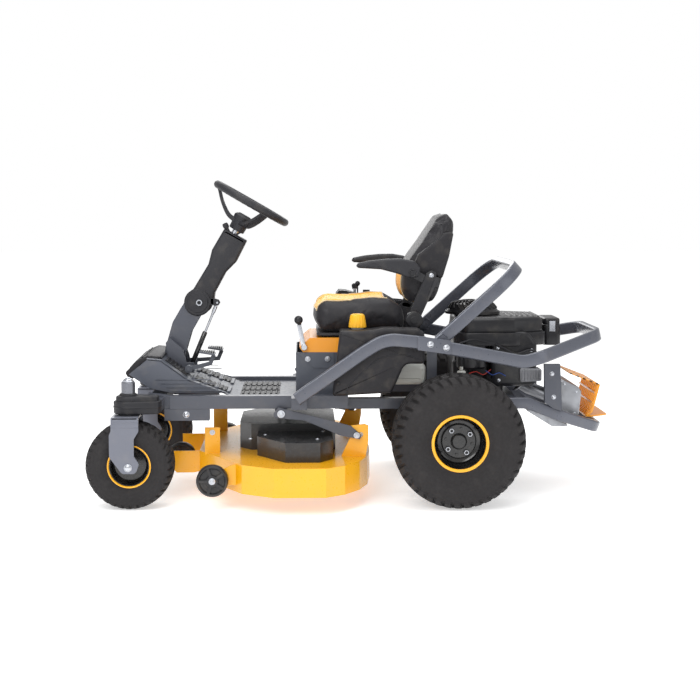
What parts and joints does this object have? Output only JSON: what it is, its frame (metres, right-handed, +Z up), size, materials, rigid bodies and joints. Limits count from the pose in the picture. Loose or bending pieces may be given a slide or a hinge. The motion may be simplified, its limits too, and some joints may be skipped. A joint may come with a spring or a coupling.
{
  "type": "zero turn mower",
  "caption": "Ride-on zero turn mower with steering wheel, geared front forks, hung cutting deck, folding seat and rear engine.",
  "frame": {"origin": "on the ground, on the centre plane, half way along the machine", "axes": "+X forward, +Y to the operator's left, +Z up"},
  "size_m": [2.06, 1.314, 1.2505],
  "materials": {
    "frame_paint": "slate grey powder coat",
    "floor_paint": "slate grey powder coat",
    "box_paint": "slate grey powder coat",
    "tube_paint": "mid grey powder coat, satin",
    "fork_paint": "light grey powder coat",
    "pedal_paint": "dark grey powder coat",
    "black_plastic": "black moulded plastic, fine texture",
    "fender_plastic": "black moulded plastic, grained",
    "control_plastic": "dark grey soft moulded plastic",
    "fan_plastic": "black moulded plastic",
    "orange_paint": "orange yellow powder coat",
    "deck_paint": "yellow powder coat",
    "cover_paint": "black powder coat, satin",
    "tank_plastic": "natural polyethylene",
    "cap_plastic": "yellow moulded plastic",
    "engine_paint": "black painted casting",
    "heat_shield_steel": "aluminised sheet steel",
    "cast_aluminium": "raw casting",
    "zinc_steel": "zinc plated",
    "strut_paint": "gloss black",
    "tyre_rubber": "tread rubber",
    "rim_paint": "gloss black with a yellow ring",
    "guide_plastic": "black nylon",
    "seat_vinyl": "grained vinyl with yellow panels",
    "seat_steel": "black powder coat",
    "blade_steel": "ground spring steel"
  },
  "bodies": {
    "chassis": {"chassis_frame": "frame_paint", "frame_cross": "frame_paint", "gear_cases": "black_plastic", "floor_pan": "floor_paint", "nose_cover": "black_plastic", "column_support": "frame_paint", "seat_box": "box_paint", "seat_pan": "orange_paint", "fenders": "fender_plastic", "console": "black_plastic", "fuel_tank": "tank_plastic", "arch_rails": "tube_paint", "hoop": "tube_paint", "rear_bumper": "tube_paint", "engine_block": "engine_paint", "blower_housing": "black_plastic", "air_cleaner": "black_plastic", "muffler": "heat_shield_steel", "exhaust_guard": "orange_paint", "transaxles": "cast_aluminium", "battery": "black_plastic", "frame_bolts": "zinc_steel"},
    "rear_wheel_left": {"rear_tyre_left": "tyre_rubber", "rear_rim_left": "rim_paint"},
    "rear_wheel_right": {"rear_tyre_right": "tyre_rubber", "rear_rim_right": "rim_paint"},
    "fork_left": {"fork_left": "fork_paint"},
    "fork_right": {"fork_right": "fork_paint"},
    "front_wheel_left": {"front_tyre_left": "tyre_rubber", "front_rim_left": "rim_paint"},
    "front_wheel_right": {"front_tyre_right": "tyre_rubber", "front_rim_right": "rim_paint"},
    "column": {"column_cover": "control_plastic"},
    "steering_wheel": {"steering_wheel": "control_plastic"},
    "strut_cylinder": {"strut_cylinder": "strut_paint"},
    "strut_rod": {"strut_rod": "zinc_steel"},
    "drive_pedal": {"drive_pedal": "pedal_paint"},
    "brake_pedal": {"brake_pedal": "pedal_paint"},
    "seat": {"seat_cushion": "seat_vinyl", "seat_frame": "seat_steel"},
    "seat_back": {"seat_back": "seat_vinyl", "back_brackets": "seat_steel"},
    "armrest_left": {"armrest_left": "control_plastic"},
    "armrest_right": {"armrest_right": "control_plastic"},
    "parking_lever": {"parking_lever": "zinc_steel"},
    "deck": {"deck_shell": "deck_paint", "belt_cover": "cover_paint"},
    "lift_arms": {"lift_arms": "frame_paint"},
    "blade_left": {"blade_left": "blade_steel"},
    "blade_centre": {"blade_centre": "blade_steel"},
    "blade_right": {"blade_right": "blade_steel"},
    "guide_wheel_left": {"guide_wheel_left": "guide_plastic"},
    "guide_wheel_right": {"guide_wheel_right": "guide_plastic"},
    "guide_wheel_front": {"guide_wheel_front": "guide_plastic"},
    "deflector": {"deflector": "control_plastic"},
    "fuel_cap": {"fuel_cap": "cap_plastic"},
    "fan": {"fan_screen": "fan_plastic"},
    "ignition_key": {"ignition_key": "zinc_steel"},
    "pto_knob": {"pto_knob": "cap_plastic"},
    "throttle_lever": {"throttle_lever": "control_plastic"}
  },
  "joints": [
    {"name": "rear_wheel_left_spin", "type": "hinge", "parent": "chassis", "child": "rear_wheel_left", "pos_m": [-0.388, 0.46, 0.254], "axis": [0, 1, 0], "continuous": true},
    {"name": "rear_wheel_right_spin", "type": "hinge", "parent": "chassis", "child": "rear_wheel_right", "pos_m": [-0.388, -0.46, 0.254], "axis": [0, 1, 0], "continuous": true},
    {"name": "column_tilt", "type": "hinge", "parent": "chassis", "child": "column", "pos_m": [0.631, 0, 0.757], "axis": [0, 1, 0], "range_deg": [-10, 8]},
    {"name": "steering_wheel_turn", "type": "hinge", "parent": "column", "child": "steering_wheel", "pos_m": [0.413, 0, 1.157], "axis": [-0.497, 0, 0.8678], "range_deg": [-180, 180]},
    {"name": "fork_left_steer", "type": "hinge", "parent": "chassis", "child": "fork_left", "pos_m": [0.868, 0.455, 0.4], "axis": [0, 0, 1], "range_deg": [-54.5, 54.5]},
    {"name": "fork_right_steer", "type": "hinge", "parent": "chassis", "child": "fork_right", "pos_m": [0.868, -0.455, 0.4], "axis": [0, 0, 1], "range_deg": [-54.5, 54.5]},
    {"name": "front_wheel_left_spin", "type": "hinge", "parent": "fork_left", "child": "front_wheel_left", "pos_m": [0.863, 0.455, 0.167], "axis": [0, 1, 0], "continuous": true},
    {"name": "front_wheel_right_spin", "type": "hinge", "parent": "fork_right", "child": "front_wheel_right", "pos_m": [0.863, -0.455, 0.167], "axis": [0, 1, 0], "continuous": true},
    {"name": "strut_swing", "type": "hinge", "parent": "chassis", "child": "strut_cylinder", "pos_m": [0.662, 0.06, 0.492], "axis": [0, 1, 0], "range_deg": [-1.5, 1.5]},
    {"name": "strut_extend", "type": "slide", "parent": "strut_cylinder", "child": "strut_rod", "axis": [-0.3863, 0, 0.9224], "range_m": [-0.014, 0.012]},
    {"name": "drive_pedal_press", "type": "hinge", "parent": "chassis", "child": "drive_pedal", "pos_m": [0.66, -0.18, 0.5], "axis": [0, -1, 0], "range_deg": [0, 16], "stiffness_Nm_per_rad": 40, "springref_deg": -4.58},
    {"name": "brake_pedal_press", "type": "hinge", "parent": "chassis", "child": "brake_pedal", "pos_m": [0.66, 0.17, 0.5], "axis": [0, -1, 0], "range_deg": [0, 18], "stiffness_Nm_per_rad": 40, "springref_deg": -4.58},
    {"name": "seat_slide", "type": "slide", "parent": "chassis", "child": "seat", "axis": [1, 0, 0], "range_m": [-0.04, 0.01]},
    {"name": "seat_back_fold", "type": "hinge", "parent": "seat", "child": "seat_back", "pos_m": [-0.231, 0, 0.701], "axis": [0, 1, 0], "range_deg": [0, 20]},
    {"name": "armrest_left_lift", "type": "hinge", "parent": "seat_back", "child": "armrest_left", "pos_m": [-0.222, 0.292, 0.887], "axis": [0, -1, 0], "range_deg": [0, 75]},
    {"name": "armrest_right_lift", "type": "hinge", "parent": "seat_back", "child": "armrest_right", "pos_m": [-0.222, -0.292, 0.887], "axis": [0, -1, 0], "range_deg": [0, 75]},
    {"name": "parking_lever_swing", "type": "hinge", "parent": "chassis", "child": "parking_lever", "pos_m": [0.2, 0.24, 0.592], "axis": [0, 1, 0], "range_deg": [0, 25]},
    {"name": "deck_lift", "type": "slide", "parent": "chassis", "child": "deck", "axis": [0, 0, 1], "range_m": [0, 0.045]},
    {"name": "lift_arms_swing", "type": "hinge", "parent": "chassis", "child": "lift_arms", "pos_m": [0.29, 0, 0.348], "axis": [0, 1, 0], "range_deg": [0, 9]},
    {"name": "blade_left_spin", "type": "hinge", "parent": "deck", "child": "blade_left", "pos_m": [0.205, 0.405, 0.1], "axis": [0, 0, 1], "continuous": true},
    {"name": "blade_centre_spin", "type": "hinge", "parent": "deck", "child": "blade_centre", "pos_m": [0.375, 0, 0.1], "axis": [0, 0, 1], "continuous": true},
    {"name": "blade_right_spin", "type": "hinge", "parent": "deck", "child": "blade_right", "pos_m": [0.205, -0.405, 0.1], "axis": [0, 0, 1], "continuous": true},
    {"name": "guide_wheel_left_spin", "type": "hinge", "parent": "deck", "child": "guide_wheel_left", "pos_m": [0.547, 0.548, 0.118], "axis": [0, 1, 0], "continuous": true},
    {"name": "guide_wheel_right_spin", "type": "hinge", "parent": "deck", "child": "guide_wheel_right", "pos_m": [0.547, -0.548, 0.118], "axis": [0, 1, 0], "continuous": true},
    {"name": "guide_wheel_front_spin", "type": "hinge", "parent": "deck", "child": "guide_wheel_front", "pos_m": [0.706, 0, 0.118], "axis": [0, 1, 0], "continuous": true},
    {"name": "deflector_lift", "type": "hinge", "parent": "deck", "child": "deflector", "pos_m": [0.2, -0.636, 0.174], "axis": [-1, 0, 0], "range_deg": [0, 60]},
    {"name": "fuel_cap_turn", "type": "hinge", "parent": "chassis", "child": "fuel_cap", "pos_m": [-0.008, 0.3, 0.7], "axis": [0, 0, 1], "range_deg": [0, 90]},
    {"name": "fan_spin", "type": "hinge", "parent": "chassis", "child": "fan", "pos_m": [-0.491, 0, 0.5], "axis": [0, 0, 1], "continuous": true},
    {"name": "ignition_key_turn", "type": "hinge", "parent": "chassis", "child": "ignition_key", "pos_m": [-0.02, -0.372, 0.77], "axis": [0, 0, -1], "range_deg": [0, 60]},
    {"name": "pto_knob_pull", "type": "slide", "parent": "chassis", "child": "pto_knob", "axis": [0, 0, 1], "range_m": [0, 0.014]},
    {"name": "throttle_lever_swing", "type": "hinge", "parent": "chassis", "child": "throttle_lever", "pos_m": [-0.03, -0.31, 0.744], "axis": [0, 1, 0], "range_deg": [-20, 20]}
  ],
  "couplings": [
    {"joint": "fork_left_steer", "follows": "steering_wheel_turn", "ratio": 0.3},
    {"joint": "fork_right_steer", "follows": "steering_wheel_turn", "ratio": 0.3},
    {"joint": "strut_swing", "follows": "column_tilt", "ratio": 0.10758},
    {"joint": "strut_extend", "follows": "column_tilt", "m_per_rad": 0.07379},
    {"joint": "lift_arms_swing", "follows": "deck_lift", "rad_per_m": 3.425},
    {"joint": "blade_left_spin", "follows": "blade_centre_spin", "ratio": 1},
    {"joint": "blade_right_spin", "follows": "blade_centre_spin", "ratio": 1}
  ]
}
